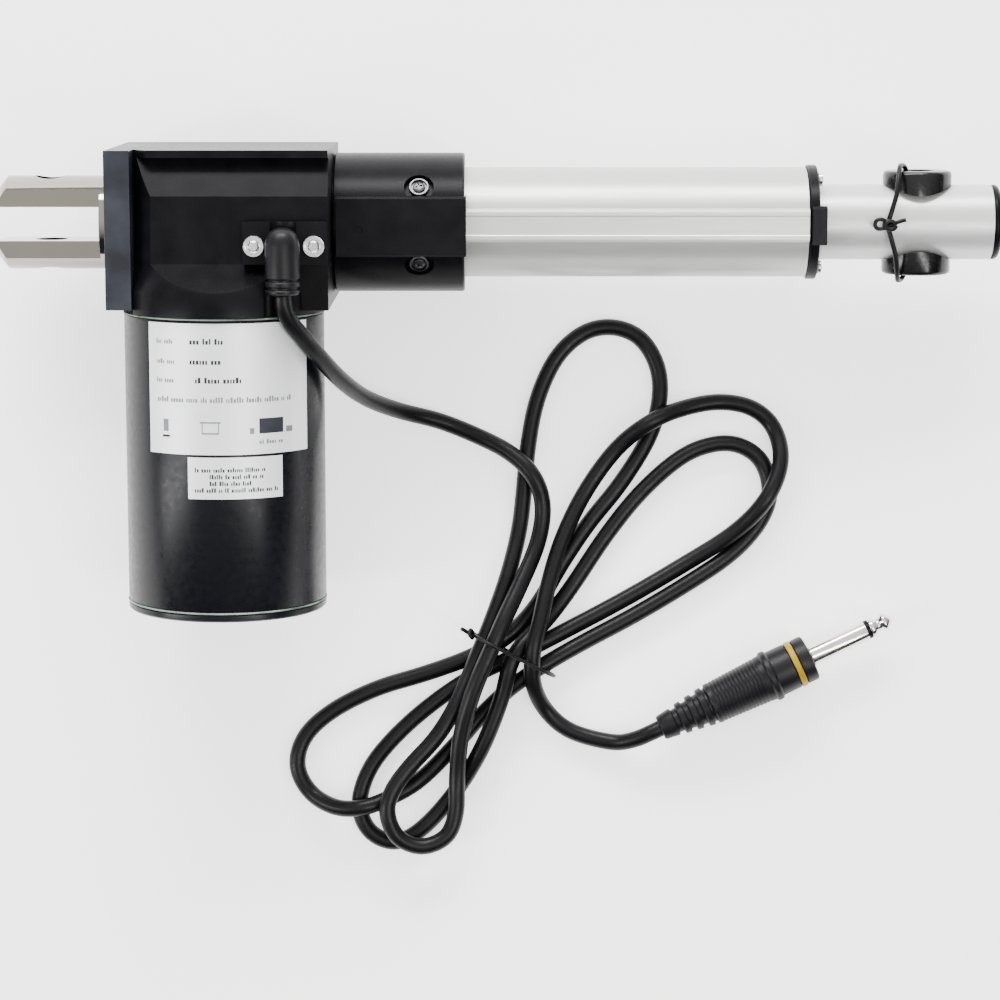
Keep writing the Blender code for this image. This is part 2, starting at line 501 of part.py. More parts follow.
boot_profile = [(0, 0), (0, 3.6), (0.6, 4.2), (4.2, 4.8), (4.5, 4.2), (5.9, 4.4), (6.2, 5.3),
                (8.2, 5.5), (8.5, 4.8), (9.9, 5.0), (10.2, 5.9), (12.2, 6.1), (12.5, 5.4),
                (13.9, 5.6), (14.2, 6.5), (16.0, 6.6), (16.3, 5.9), (17.1, 6.0), (17.4, 6.8),
                (37.6, 7.9), (38.2, 8.6), (40.2, 8.6), (40.8, 7.7), (53.0, 7.7), (53.6, 7.1),
                (53.6, 0)]
plug = on_plug("plug_body", boot_profile, 20)
groove = on_plug("c", [(47.0, 6.5), (47.0, 9.0), (49.4, 9.0), (49.4, 6.5)], 24)
cut(plug, groove)
finish(plug, BLACK, 0, 0.5, world=True)
finish(on_plug("plug_ring", [(47.3, 6.8), (47.3, 7.9), (49.1, 7.9), (49.1, 6.8)], 36),
       (0.75, 0.5, 0.02), 0, 0.5, world=True)
finish(on_plug("jack_sleeve", [(53.9, 0), (53.9, 3.17), (73.9, 3.17), (73.9, 2.6), (74.9, 2.6),
                               (74.9, 0)], 18), CHROME, 1, 0.2, world=True)
finish(on_plug("jack_tip", [(75.2, 0), (75.2, 3.1), (76.6, 3.1), (77.6, 2.2), (78.6, 2.0),
                            (79.6, 3.0), (80.6, 3.1), (82.6, 1.5), (83.1, 0)], 18),
       CHROME, 1, 0.2, world=True)
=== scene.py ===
"""Looks of the linear actuator: finishes, mouldings, labels, screws, its lead and the studio."""
import json
import math
import random

import bmesh
import bpy
from mathutils import Matrix, Vector


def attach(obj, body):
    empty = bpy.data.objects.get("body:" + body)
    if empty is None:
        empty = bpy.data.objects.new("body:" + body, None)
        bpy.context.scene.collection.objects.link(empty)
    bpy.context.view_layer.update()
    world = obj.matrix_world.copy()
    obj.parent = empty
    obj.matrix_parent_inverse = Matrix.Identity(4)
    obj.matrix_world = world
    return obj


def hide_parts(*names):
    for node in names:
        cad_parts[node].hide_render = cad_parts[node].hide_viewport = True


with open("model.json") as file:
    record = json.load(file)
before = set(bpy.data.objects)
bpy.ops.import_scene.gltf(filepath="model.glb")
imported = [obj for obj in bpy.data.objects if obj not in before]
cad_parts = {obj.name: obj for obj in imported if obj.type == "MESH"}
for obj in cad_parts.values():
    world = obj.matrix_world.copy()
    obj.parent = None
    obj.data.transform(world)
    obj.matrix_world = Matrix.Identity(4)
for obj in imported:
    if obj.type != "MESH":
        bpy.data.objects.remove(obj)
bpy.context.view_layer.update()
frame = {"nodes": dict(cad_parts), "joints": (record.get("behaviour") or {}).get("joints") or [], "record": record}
scene = bpy.context.scene
joints = {j["name"]: j for j in frame["joints"]}

# The actuator's own axes, in mm: x along the spindle from the rear pin, y away from the motor,
# z up out of the gear case. REST lays them down in the shared frame, as the joints say.
MM = 0.001
SPINDLE_JOINT_X = 150.0  # how far the spindle's joint is from the rear pin
MOTOR_AXIS = (57.0, 22.0)  # x and z
MOTOR_R = 31.5
FRONT_PIN_X = 278.0
BOOT_AXIS = (77.5, 51)  # x and z of the lead's boot, which lies on the gland
away_from_motor = -Vector(joints["motor_spin"]["axis"])
tilt = Matrix.Rotation(math.atan2(away_from_motor.z, away_from_motor.y), 4, "X")
spindle_at = Vector(joints["spindle_spin"]["pos_m"])
REST = (Matrix.Translation(spindle_at - Vector((SPINDLE_JOINT_X * MM, 0, 0))) @ tilt
        @ Matrix.Scale(MM, 4))


# ---------------------------------------------------------------- camera
LENS, SENSOR = 111.9, 36
CAMERA_AT = (0, -0.03965, 1.028)  # looks straight down, as the photo does


def make_camera():
    data = bpy.data.cameras.new("camera")
    data.lens, data.sensor_width = LENS, SENSOR
    data.clip_start, data.clip_end = 0.05, 20
    camera = bpy.data.objects.new("camera", data)
    camera.location = CAMERA_AT
    scene.collection.objects.link(camera)
    scene.camera = camera


make_camera()


# ---------------------------------------------------------------- finishes
def finish_material(name, colour, rough, metallic=0.0, grain=1500, bump=0.1, depth=0.05,
                    mottle=0.15, spread=0.08, stretch=(1, 1, 1), shade=None, sheen=0.5):
    """A finish with cloudy colour, uneven gloss and a fine surface grain.

    grain is in bumps per metre and depth in mm; shade is a second colour that wear brings out,
    and sheen is how strongly a dull surface mirrors the room.
    """
    look = bpy.data.materials.new(name)
    look.use_nodes = True
    tree = look.node_tree
    shader = tree.nodes["Principled BSDF"]
    shader.inputs["Metallic"].default_value = metallic
    shader.inputs["Specular IOR Level"].default_value = sheen
    shader.inputs["Coat Roughness"].default_value = 0.08
    place_on = tree.nodes.new("ShaderNodeTexCoord")
    mapping = tree.nodes.new("ShaderNodeMapping")
    mapping.inputs["Scale"].default_value = stretch
    tree.links.new(place_on.outputs["Object"], mapping.inputs["Vector"])

    def noise(scale, detail):
        made = tree.nodes.new("ShaderNodeTexNoise")
        made.inputs["Scale"].default_value = scale
        made.inputs["Detail"].default_value = detail
        tree.links.new(mapping.outputs["Vector"], made.inputs["Vector"])
        return made.outputs["Fac"]

    cloud, fine = noise(grain / 22, 3), noise(grain, 2)
    ramp = tree.nodes.new("ShaderNodeValToRGB")
    dark = [c * (1 - mottle) for c in colour]
    light = shade or [min(1, c * (1 + mottle) + 0.002) for c in colour]
    ramp.color_ramp.elements[0].position, ramp.color_ramp.elements[1].position = 0.3, 0.72
    ramp.color_ramp.elements[0].color = (*dark, 1)
    ramp.color_ramp.elements[1].color = (*light, 1)
    tree.links.new(cloud, ramp.inputs["Fac"])
    tree.links.new(ramp.outputs["Color"], shader.inputs["Base Color"])
    gloss = tree.nodes.new("ShaderNodeMapRange")
    gloss.inputs["From Min"].default_value, gloss.inputs["From Max"].default_value = 0.3, 0.7
    gloss.inputs["To Min"].default_value = max(0.02, rough - spread)
    gloss.inputs["To Max"].default_value = rough + spread
    tree.links.new(fine, gloss.inputs["Value"])
    tree.links.new(gloss.outputs["Result"], shader.inputs["Roughness"])
    relief = tree.nodes.new("ShaderNodeBump")
    relief.inputs["Strength"].default_value = bump
    relief.inputs["Distance"].default_value = depth * MM
    tree.links.new(fine, relief.inputs["Height"])
    tree.links.new(relief.outputs["Normal"], shader.inputs["Normal"])
    return look


LOOKS = {
    "black_nylon": finish_material("black_nylon", (0.0028, 0.0028, 0.004), 0.34, grain=2600,
                                   bump=0.25, depth=0.03, mottle=0.25, sheen=0.08),
    "bush_black": finish_material("bush_black", (0.003, 0.003, 0.0035), 0.22, grain=900,
                                  bump=0.05, sheen=0.3),
    "chrome": finish_material("chrome", (0.29, 0.27, 0.245), 0.09, 1, grain=700, bump=0.05,
                              depth=0.02, mottle=0.05, spread=0.04),
    "nickel": finish_material("nickel", (0.78, 0.75, 0.7), 0.16, 1, grain=900, bump=0.05,
                              mottle=0.06, spread=0.05),
    "screw_steel": finish_material("screw_steel", (0.72, 0.73, 0.74), 0.22, 1, grain=3000,
                                   bump=0.2, depth=0.02),
    "bearing_steel": finish_material("bearing_steel", (0.6, 0.6, 0.61), 0.25, 1, grain=2500),
    "spindle_steel": finish_material("spindle_steel", (0.5, 0.5, 0.51), 0.3, 1, grain=2000),
    "bronze": finish_material("bronze", (0.52, 0.34, 0.16), 0.35, 1, grain=2000),
    "tube_aluminium": finish_material("tube_aluminium", (0.56, 0.565, 0.55), 0.4, 0.6, grain=2400,
                                      bump=0.14, depth=0.02, mottle=0.04, spread=0.05,
                                      stretch=(0.02, 1, 1), sheen=0.3),
    "rod_aluminium": finish_material("rod_aluminium", (0.62, 0.63, 0.62), 0.42, 0.5, grain=2600,
                                     bump=0.12, depth=0.02, mottle=0.04, stretch=(0.05, 1, 1),
                                     sheen=0.3),
    "white_acetal": finish_material("white_acetal", (0.76, 0.77, 0.74), 0.45),
    "rubber_black": finish_material("rubber_black", (0.003, 0.003, 0.0042), 0.42, grain=3200,
                                    bump=0.3, depth=0.04, sheen=0.2),
    "gasket": finish_material("gasket", (0.2, 0.26, 0.22), 0.6, grain=2500, mottle=0.7, sheen=0.2),
    "motor_paint": finish_material("motor_paint", (0.0022, 0.0023, 0.0042), 0.31, 0.0, grain=500,
                                   bump=0.08, depth=0.05, mottle=0.3, spread=0.05, sheen=0.18),
    "ferrite": finish_material("ferrite", (0.06, 0.06, 0.065), 0.6),
    "lamination": finish_material("lamination", (0.3, 0.3, 0.31), 0.4, 1, stretch=(0.1, 8, 0.1)),
    "copper": finish_material("copper", (0.7, 0.32, 0.15), 0.3, 1, grain=2200, bump=0.5),
    "carbon": finish_material("carbon", (0.03, 0.03, 0.03), 0.6),
    "phenolic": finish_material("phenolic", (0.25, 0.13, 0.06), 0.5),
    "board": finish_material("board", (0.02, 0.16, 0.07), 0.35),
    "switch_case": finish_material("switch_case", (0.02, 0.02, 0.024), 0.35),
    "cord_pvc": finish_material("cord_pvc", (0.0022, 0.0022, 0.003), 0.38, grain=1800, bump=0.12,
                                depth=0.03, mottle=0.2, sheen=0.17),
    "tie_black": finish_material("tie_black", (0.002, 0.002, 0.0025), 0.4, grain=3000, sheen=0.2),
    "yellow": finish_material("yellow", (0.36, 0.23, 0.0), 0.4, grain=2600, bump=0.2, sheen=0.2),
}
LABEL = finish_material("label_foil", (0.86, 0.87, 0.89), 0.34, 0.1, grain=2200, bump=0.08,
                        depth=0.01, mottle=0.03, spread=0.05)
PRINT = finish_material("label_print", (0.03, 0.031, 0.04), 0.45, grain=2500, bump=0.05,
                        sheen=0.1)
SLOT_OF = {p["node"]: p["material_slot"] for p in frame["record"]["subparts"]}
for name, node in frame["nodes"].items():
    node.data.materials.clear()
    node.data.materials.append(LOOKS[SLOT_OF[name]])


# ---------------------------------------------------------------- shaping helpers (mm)
def place(axis, at, along, radius, angle):
    """Point on a circle round an axis, right-handed about +axis."""
    c, s = radius * math.cos(angle), radius * math.sin(angle)
    if axis == "X":
        return (along, at[0] + c, at[1] + s)
    if axis == "Y":
        return (at[0] + s, along, at[1] + c)
    return (at[0] + c, at[1] + s, along)


def solid(name, verts, faces):
    """A new mesh object with its faces turned outwards."""
    mesh = bpy.data.meshes.new(name)
    bm = bmesh.new()
    made = [bm.verts.new(v) for v in verts]
    for face in faces:
        bm.faces.new([made[i] for i in face])
    bmesh.ops.recalc_face_normals(bm, faces=bm.faces)
    bm.to_mesh(mesh)
    bm.free()
    obj = bpy.data.objects.new(name, mesh)
    scene.collection.objects.link(obj)
    return obj


def turned(name, profile, axis="X", at=(0, 0), steps=96):
    """Solid turned from (along, radius) points; a zero radius lies on the axis."""
    verts, rings = [], []
    for along, radius in profile:
        if radius == 0:
            rings.append([len(verts)] * steps)
            verts.append(place(axis, at, along, 0, 0))
        else:
            rings.append(list(range(len(verts), len(verts) + steps)))
            verts += [place(axis, at, along, radius, 2 * math.pi * k / steps)
                      for k in range(steps)]
    faces = []
    for i, ring in enumerate(rings):
        after = rings[(i + 1) % len(rings)]
        for k in range(steps):
            n = (k + 1) % steps
            face = list(dict.fromkeys([ring[k], ring[n], after[n], after[k]]))
            if len(face) > 2:
                faces.append(face)
    return solid(name, verts, faces)


def rod(a, b, radius, axis="X", at=(0, 0), steps=64):
    """A plain cylinder, used as a tool."""
    return turned("tool", [(a, 0), (a, radius), (b, radius), (b, 0)], axis, at, steps)


def prism(name, outline, a, b, axis="X"):
    """Solid swept along an axis from an outline: (y, z) for X, (x, z) for Y, (x, y) for Z."""
    n = len(outline)
    order = {"X": lambda u, v, s: (s, u, v), "Y": lambda u, v, s: (u, s, v),
             "Z": lambda u, v, s: (u, v, s)}[axis]
    verts = [order(u, v, s) for s in (a, b) for u, v in outline]
    sides = [[i, (i + 1) % n, n + (i + 1) % n, n + i] for i in range(n)]
    return solid(name, verts, sides + [list(range(n)), list(range(n, 2 * n))])


def box(name, x0, x1, y0, y1, z0, z1):
    return prism(name, [(y0, z0), (y1, z0), (y1, z1), (y0, z1)], x0, x1)


def radial(r0, r1, radius, angle, x, steps=40):
    """A cylinder that points out from the spindle's axis at an angle from the top."""
    tool = rod(r0, r1, radius, "Z", (0, 0), steps)
    tool.data.transform(Matrix.Translation((x, 0, 0)) @ Matrix.Rotation(-angle, 4, "X"))
    return tool


def combine(target, operation, tools):
    """Boolean of each tool on the target; the tools are used up."""
    for tool in tools:
        step = target.modifiers.new(operation.title(), "BOOLEAN")
        step.solver, step.operation, step.object = "EXACT", operation, tool
    bpy.context.view_layer.update()
    shown = target.evaluated_get(bpy.context.evaluated_depsgraph_get())
    mesh = bpy.data.meshes.new_from_object(shown)
    target.modifiers.clear()
    target.data = mesh
    for tool in tools:
        bpy.data.objects.remove(tool, do_unlink=True)
    return target


def cut(target, *tools):
    return combine(target, "DIFFERENCE", tools)


def join(target, *tools):
    return combine(target, "UNION", tools)


def dress(piece, look, body="housing", nodes=(), edge=0.0, frame_of=REST, sharp=28):
    """Puts a piece in its place, rounds and smooths it, ties it to its body and hides the nodes it stands in for.
    """
    piece.data.transform(frame_of)
    piece.data.materials.clear()
    piece.data.materials.append(look)
    piece.data.shade_smooth()
    piece.data.set_sharp_from_angle(angle=math.radians(sharp))
    if edge:
        soften = piece.modifiers.new("rounded_edges", "BEVEL")
        soften.width, soften.segments = edge * MM, 3
        soften.limit_method, soften.angle_limit = "ANGLE", math.radians(35)
        soften.harden_normals = True
    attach(piece, body)
    if nodes:
        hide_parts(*nodes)
    return piece


def smooth(points, dense, closed=False):
    """Points on a smooth curve through the route points, `dense` to each span."""
    pts = [Vector(p) for p in points]
    n = len(pts)
    found = []
    for i in range(n if closed else n - 1):
        p = [pts[(i + k) % n] if closed else pts[min(max(i + k, 0), n - 1)]
             for k in (-1, 0, 1, 2)]
        for s in range(dense):
            t = s / dense
            found.append(0.5 * (2 * p[1] + (p[2] - p[0]) * t
                                + (2 * p[0] - 5 * p[1] + 4 * p[2] - p[3]) * t * t
                                + (3 * p[1] - p[0] - 3 * p[2] + p[3]) * t ** 3))
    return found if closed else found + [pts[-1]]


def strand(name, points, radius, look, body, nodes=(), closed=False, sides=4,
           frame_of=None):
    """A round cord or wire along these points."""
    curve = bpy.data.curves.new(name, "CURVE")
    curve.dimensions = "3D"
    line = curve.splines.new("POLY")
    line.points.add(len(points) - 1)
    for made, p in zip(line.points, points):
        made.co = (*((frame_of @ Vector(p)) if frame_of else Vector(p) * MM), 1)
    line.use_cyclic_u, line.use_smooth = closed, True
    curve.bevel_depth, curve.bevel_resolution = radius * MM, sides
    curve.use_fill_caps = True
    curve.materials.append(look)
    obj = bpy.data.objects.new(name, curve)
    scene.collection.objects.link(obj)
    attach(obj, body)
    if nodes:
        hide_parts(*nodes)
    return obj


# ---------------------------------------------------------------- the lead and its plug
LEAD_R = 2.75
LEAD_FLOOR = 2.8  # how high the lead's middle lies where it rests on the table
ROUTE_MM = [  # in the shared frame, from the boot to the plug
    (-66.6, 22.8, 75.5), (-66.2, 19.0, 74.6), (-64.2, 14.6, 72.0), (-60.6, 10.2, 67.2),
    (-56.0, 4.6, 59.4), (-50.3, -1.7, 44.0), (-43.2, -6.8, 26.0), (-32.7, -10.5, 10.5),
    (-19.8, -13.6, 3.6), (-6.6, -18.9, 3.2), (3.3, -24.2, 6.6), (10.8, -31.5, 8.7),
    (14.1, -41.3, 7.0), (12.5, -53.4, 7.0), (6.9, -66.8, 11.0), (1.3, -78.7, 15.0),
    (-3.3, -89.4, 16.0), (-8.5, -101.5, 15.0), (-12.7, -116.4, 12.0), (-14.1, -130.8, 8.8),
    (-14.4, -142.0, 8.8), (-17.6, -150.0, 8.8), (-25.6, -153.3, 9.2), (-33.6, -150.0, 10.2),
    (-36.9, -142.0, 11.2), (-35.2, -134.8, 11.2), (-29.6, -127.0, 10.0), (-20.7, -117.3, 8.6),
    (-13.8, -105.9, 8.6), (-8.2, -92.7, 10.4), (-2.6, -79.0, 9.0), (2.6, -64.3, 6.5),
    (6.3, -49.5, 3.0), (7.9, -36.4, 2.8), (9.2, -22.2, 2.8), (12.2, -6.7, 2.8), (18.5, 7.2, 2.8),
    (27.4, 15.4, 2.8), (36.9, 17.4, 2.8), (45.8, 14.1, 2.8), (51.4, 5.8, 2.8), (52.8, -4.7, 2.8),
    (49.5, -18.2, 2.8), (39.9, -34.0, 2.8), (29.0, -47.6, 2.8), (19.8, -61.4, 2.8),
    (12.2, -74.3, 2.8), (2.6, -84.4, 4.4), (-9.9, -91.4, 4.0), (-25.1, -97.0, 2.8),
    (-40.2, -101.6, 2.8), (-54.4, -108.6, 2.8), (-64.0, -117.1, 2.8), (-66.9, -127.0, 2.8),
    (-62.6, -135.9, 2.8), (-54.3, -140.6, 6.0), (-45.2, -140.6, 8.3), (-36.4, -137.6, 5.6),
    (-26.4, -132.0, 2.8), (-14.8, -120.4, 2.8), (-4.3, -108.6, 2.8), (8.2, -97.9, 5.0),
    (25.2, -87.8, 3.2), (42.7, -78.5, 2.8), (59.7, -68.5, 2.8), (75.6, -57.9, 2.8),
    (85.4, -47.2, 2.8), (89.0, -37.0, 2.8), (86.4, -27.1, 2.8), (79.5, -21.8, 2.8),
    (70.6, -21.2, 2.8), (59.7, -25.5, 2.8), (46.5, -37.0, 2.8), (34.6, -51.8, 2.8),
    (23.8, -68.0, 2.8), (15.2, -79.2, 4.6), (4.6, -90.4, 10.4), (0.7, -104.2, 8.6),
    (-5.9, -121.1, 7.0), (-14.8, -135.9, 2.8), (-25.6, -147.9, 2.8), (-34.6, -152.4, 2.8),
    (-42.9, -148.9, 2.8), (-46.4, -140.2, 2.8), (-43.5, -129.3, 2.8), (-36.3, -119.4, 2.8),
    (-24.7, -108.6, 2.8), (-9.9, -98.3, 2.8), (6.6, -90.3, 4.6), (24.2, -81.3, 2.8),
    (42.5, -71.5, 2.8), (60.4, -61.0, 2.8), (76.8, -50.5, 5.4), (87.2, -39.6, 9.2),
    (92.3, -27.2, 7.0), (90.3, -15.9, 3.0), (83.1, -9.3, 2.8), (72.2, -7.3, 2.8),
    (60.5, -9.4, 5.0), (49.8, -13.8, 8.8), (38.8, -22.2, 5.5), (28.3, -36.4, 5.0),
    (21.0, -51.1, 7.0), (16.4, -65.2, 8.7), (13.1, -79.5, 11.5), (10.8, -88.6, 12.3),
    (10.8, -99.4, 9.6), (14.8, -108.5, 3.5), (23.1, -115.8, 2.8), (36.5, -119.4, 3.6),
    (43.6, -118.5, 6.6), (49.2, -116.1, 8.6), (53.1, -114.2, 8.8),
]

lead_line = [Vector((p.x, p.y, max(p.z, LEAD_FLOOR))) for p in smooth(ROUTE_MM, 8)]
for _ in range(4):  # evens the bends and leaves both ends in place
    inner_line = [(a + 2 * b + c) / 4 for a, b, c in zip(lead_line, lead_line[1:], lead_line[2:])]
    lead_line[4:-4] = inner_line[3:-3]
lead = strand("lead", lead_line, LEAD_R, LOOKS["cord_pvc"], "housing", ["power_cord"], sides=6)
PLUG_HEADING = math.atan2(0.430, 0.903)
PLUG_AT = (Matrix.Translation(Vector((53.4, -114.1, 8.8)) * MM)
           @ Matrix.Rotation(PLUG_HEADING, 4, "Z") @ Matrix.Scale(MM, 4))


def plug_profile():
    """Strain relief with four soft ribs, finely ribbed grip, collar and end flange."""
    made = [(-0.9, 0.0), (-0.9, 3.6), (-0.65, 4.0), (-0.2, 4.2), (3.9, 4.75), (4.2, 4.6)]
    for at, low, high in ((4.4, 4.0, 5.3), (8.4, 4.6, 5.9), (12.4, 5.2, 6.5)):
        made += [(at, low + 0.3), (at + 0.2, low), (at + 1.5, low + 0.1), (at + 1.7, low + 0.4),
                 (at + 1.8, high - 0.3), (at + 2.1, high), (at + 3.6, high + 0.15),
                 (at + 3.9, high)]
    made += [(16.3, 6.0), (16.5, 5.8), (17.1, 5.8), (17.3, 6.1), (17.4, 6.6), (17.8, 6.9)]
    for k in range(14):
        at = 19.0 + 1.25 * k
        r = 6.9 + 0.9 * (at - 18) / 19
        made += [(at, r), (at + 0.25, r - 0.16), (at + 0.5, r - 0.16), (at + 0.75, r)]
    made += [(37.8, 7.85), (38.2, 8.35), (38.6, 8.58), (39.8, 8.58), (40.2, 8.35), (40.6, 7.75),
             (46.2, 7.7), (46.8, 7.65), (47.0, 7.4), (47.0, 6.5), (49.4, 6.5), (49.4, 7.4),
             (49.6, 7.65), (52.6, 7.7), (53.2, 7.5), (53.5, 7.0), (53.6, 6.0), (53.6, 0.0)]
    return made


plug = dress(turned("plug_moulding", plug_profile(), steps=96), LOOKS["rubber_black"],
             nodes=["plug_body"], frame_of=PLUG_AT)
band = dress(turned("plug_band", [(47.25, 6.8), (47.25, 7.7), (47.5, 7.9), (48.9, 7.9),
                                  (49.15, 7.7), (49.15, 6.8)]),
             LOOKS["yellow"], nodes=["plug_ring"], frame_of=PLUG_AT)
sleeve = dress(turned("jack_barrel", [(53.9, 0), (53.9, 3.05), (54.1, 3.17), (73.6, 3.17),
                                      (73.9, 3.05), (73.9, 2.6), (74.9, 2.6), (74.9, 0)]),
               LOOKS["nickel"], nodes=["jack_sleeve"], frame_of=PLUG_AT)
washer = dress(turned("jack_insulator", [(73.92, 2.62), (73.92, 3.12), (75.1, 3.12),
                                         (75.1, 2.62)]),
               LOOKS["black_nylon"], frame_of=PLUG_AT)
tip = dress(turned("jack_point", [(75.2, 0), (75.2, 3.0), (75.4, 3.12), (76.3, 3.1), (77.0, 2.6),
                                  (77.8, 2.1), (78.4, 2.0), (79.0, 2.35), (79.7, 3.0),
                                  (80.2, 3.15), (80.7, 3.0), (82.2, 1.7), (82.8, 1.0),
                                  (83.1, 0)]),
            LOOKS["nickel"], nodes=["jack_tip"], frame_of=PLUG_AT, sharp=40)
TIE_XZ = [(-9.6, 9.7), (-8.6, 5.0), (-5.6, 1.5), (-2.0, 0.65), (5.0, 0.65), (12.9, 0.65),
          (16.2, 1.7), (17.8, 4.6), (17.0, 8.6), (14.6, 12.4), (10.8, 14.7), (6.0, 16.2),
          (1.6, 18.6), (-2.3, 19.8), (-6.3, 18.0), (-8.7, 14.0)]
TIE_ENDS = [(-8.7, -83.2, 14.0), (-9.6, -82.0, 15.2), (-9.9, -83.4, 16.4), (-9.0, -84.6, 15.6),
            (-9.6, -83.6, 14.2), (-11.2, -82.4, 14.6), (-12.6, -81.6, 15.4)]
strand("lead_tie", smooth([(x, -85.3 - (x + 5.5) * 0.5233, z) for x, z in TIE_XZ], 6, True),
       0.6, LOOKS["tie_black"], "housing", ["cord_tie"], closed=True)
strand("lead_tie_ends", smooth(TIE_ENDS, 6), 0.65, LOOKS["tie_black"], "housing")

# ---------------------------------------------------------------- gear case and rear cover
COVER_BACK, COVER_FRONT, CASE_BACK = 22, 30, 30.3
CASE_HALF, CASE_TOP = 24.6, 42
COVER_SCREWS = [(y, z) for y in (-18.0, 18.0) for z in (-20.0, 26.0)]
cover = box("cover_moulding", COVER_BACK, COVER_FRONT, -CASE_HALF, CASE_HALF, -CASE_HALF, CASE_TOP)
cut(cover, rod(10, 35, 15.4, steps=96), *[rod(21, 25, 3.3, at=p, steps=32) for p in COVER_SCREWS],
    *[rod(24, 31, 1.8, at=p, steps=24) for p in COVER_SCREWS])
COVER_LOOK = finish_material("cover_grey", (0.012, 0.0135, 0.021), 0.4, grain=1400, bump=0.3,
                             depth=0.06, mottle=0.4, shade=(0.03, 0.034, 0.048), sheen=0.3)
dress(cover, COVER_LOOK, nodes=["rear_cover"], edge=0.7)

case = box("gear_case", CASE_BACK, 57.5, -CASE_HALF, CASE_HALF, -CASE_HALF, 22)
join(case, box("tool", 57, 91, -CASE_HALF, CASE_HALF, -CASE_HALF, CASE_TOP),
     turned("tool", [(-26, 0), (-26, 32.6), (-19, 32.6), (-10.3, 28.9), (24.6, 28.6), (24.6, 0)],
            "Y", MOTOR_AXIS, 128))
cut(case, box("tool", 0, CASE_BACK, -40, 40, -40, 70),
    prism("tool", [(-18.9, 55.4), (-10.3, 42), (10.6, 42), (22.3, 35.3), (22.3, 40), (30, 40),
                   (30, 70), (-18.9, 70)], 20, 95))
cut(case, rod(20, 66, 19.5), rod(60, 95, 8.5), rod(84, 95, 20.0),
    rod(-30, -20.7, 26.0, "Y", MOTOR_AXIS, 96), rod(-30, 19, 8.5, "Y", MOTOR_AXIS),
    rod(-30, 4, 5.9, "Y", BOOT_AXIS, 48))
dress(case, LOOKS["black_nylon"], nodes=["gearbox_housing"], edge=0.8)

clevis = turned("clevis_forging", [(-16, 0), (-16, 12.0), (-15.6, 12.6), (-13.6, 14.8), (-13.1, 15),
                                   (30.4, 15), (30.4, 19), (33.6, 19), (33.6, 9), (26, 9),
                                   (26, 0)], steps=128)
cut(clevis, box("tool", -20, 16.5, -5.4, 5.4, -20, 20), box("tool", -20, 16.8, -20, 20, 10.3, 20),
    box("tool", -20, 16.8, -20, 20, -20, -10.3), rod(-20, 20, 5.1, "Y", (0, 0), 64))
dress(clevis, LOOKS["chrome"], nodes=["rear_clevis"], edge=0.45)


def screw_piece(name, seat, height, radius, axis, at, up, spin):
    """Recessed cross-drive head with a dished crown; only the head and its neck show."""
    profile = [(-3, 0), (-3, radius * 0.45), (0, radius * 0.45), (0, radius * 0.97), (0.25, radius)]
    profile += [(height * h, radius * r) for h, r in (
        (0.75, 1), (0.9, 0.94), (0.9, 0.8), (0.25, 0.76), (0.25, 0.62), (0.75, 0.58), (1, 0.4),
        (1, 0))]
    head = turned(name, [(seat + up * h, r) for h, r in profile], axis, at, 48)
    floor, top = sorted((seat + up * height * 0.5, seat + up * (height + 1)))
    long, thin = radius * 0.36, radius * 0.1
    for k in range(2):
        turn = spin + k * math.pi / 2
        corners = [(long, thin), (-long, thin), (-long, -thin), (long, -thin)]
        outline = [(at[0] + u * math.cos(turn) - v * math.sin(turn),
                    at[1] + u * math.sin(turn) + v * math.cos(turn)) for u, v in corners]
        cut(head, prism("tool", outline, floor, top, axis))
    return head


for i, p in enumerate(COVER_SCREWS):
    dress(screw_piece(f"cover_screw_head_{i + 1}", 24.7, 2.4, 3.0, "X", p, -1, 0.4 + i),
          LOOKS["screw_steel"], nodes=[f"cover_screw_{i + 1}"])
GLAND_SCREWS = [(68.5, -4.3), (86.9, -4.3)]
for i, p in enumerate(GLAND_SCREWS):
    dress(screw_piece(f"gland_screw_head_{i + 1}", 47.3, 2.2, 3.3, "Z", p, 1, 0.5 + 0.6 * i),
          LOOKS["screw_steel"], nodes=[f"gland_screw_{i + 1}"])

# ---------------------------------------------------------------- socket, tubes, rod end
# The socket screws' steel is painted dark: painted shade, standing in for the shade they sit in deep in their
# recesses under the rib.
SOCKET_SCREW_PAINTED_SHADE = finish_material("screw_steel_painted_shade", (0.09, 0.09, 0.095), 0.35, 1, grain=3000, bump=0.2)
SOCKET_ANGLES = [math.radians(a) for a in (36, -36)]
SOCKET_SCREW_X = 118.5
socket = turned("socket_moulding", [(84.3, 15.4), (84.3, 19.7), (91.3, 19.7), (91.3, 21.7),
                                    (91.8, 22.2), (132.3, 22.2), (132.8, 21.7), (132.8, 15.4)],
                steps=128)
cut(socket, *[radial(20.0, 30, 4.7, 0.92 * a, SOCKET_SCREW_X) for a in SOCKET_ANGLES])
join(socket, prism("tool", [(-9.4, 16.5), (9.4, 16.5), (9.4, 23.6), (8.8, 24.2), (-8.8, 24.2),
                            (-9.4, 23.6)], 92.5, 133.4))
cut(socket, rod(80, 100, 15.4), rod(99.9, 140, 17.8, steps=96),
    box("tool", 100, 140, -5.6, 5.6, 0, 19.1), rod(23.6, 30, 1.4, "Z", (99.6, -1), 32))
dress(socket, LOOKS["black_nylon"], nodes=["tube_socket"], edge=0.35)
for i, a in enumerate(SOCKET_ANGLES):
    head = screw_piece(f"socket_screw_head_{i + 1}", 19.9, 1.2, 3.2, "Z", (0, 0), 1, 0.3 + 0.7 * i)
    head.data.transform(Matrix.Translation((SOCKET_SCREW_X, 0, 0)) @ Matrix.Rotation(-a, 4, "X"))
    dress(head, SOCKET_SCREW_PAINTED_SHADE, nodes=[f"socket_screw_{i + 1}"])


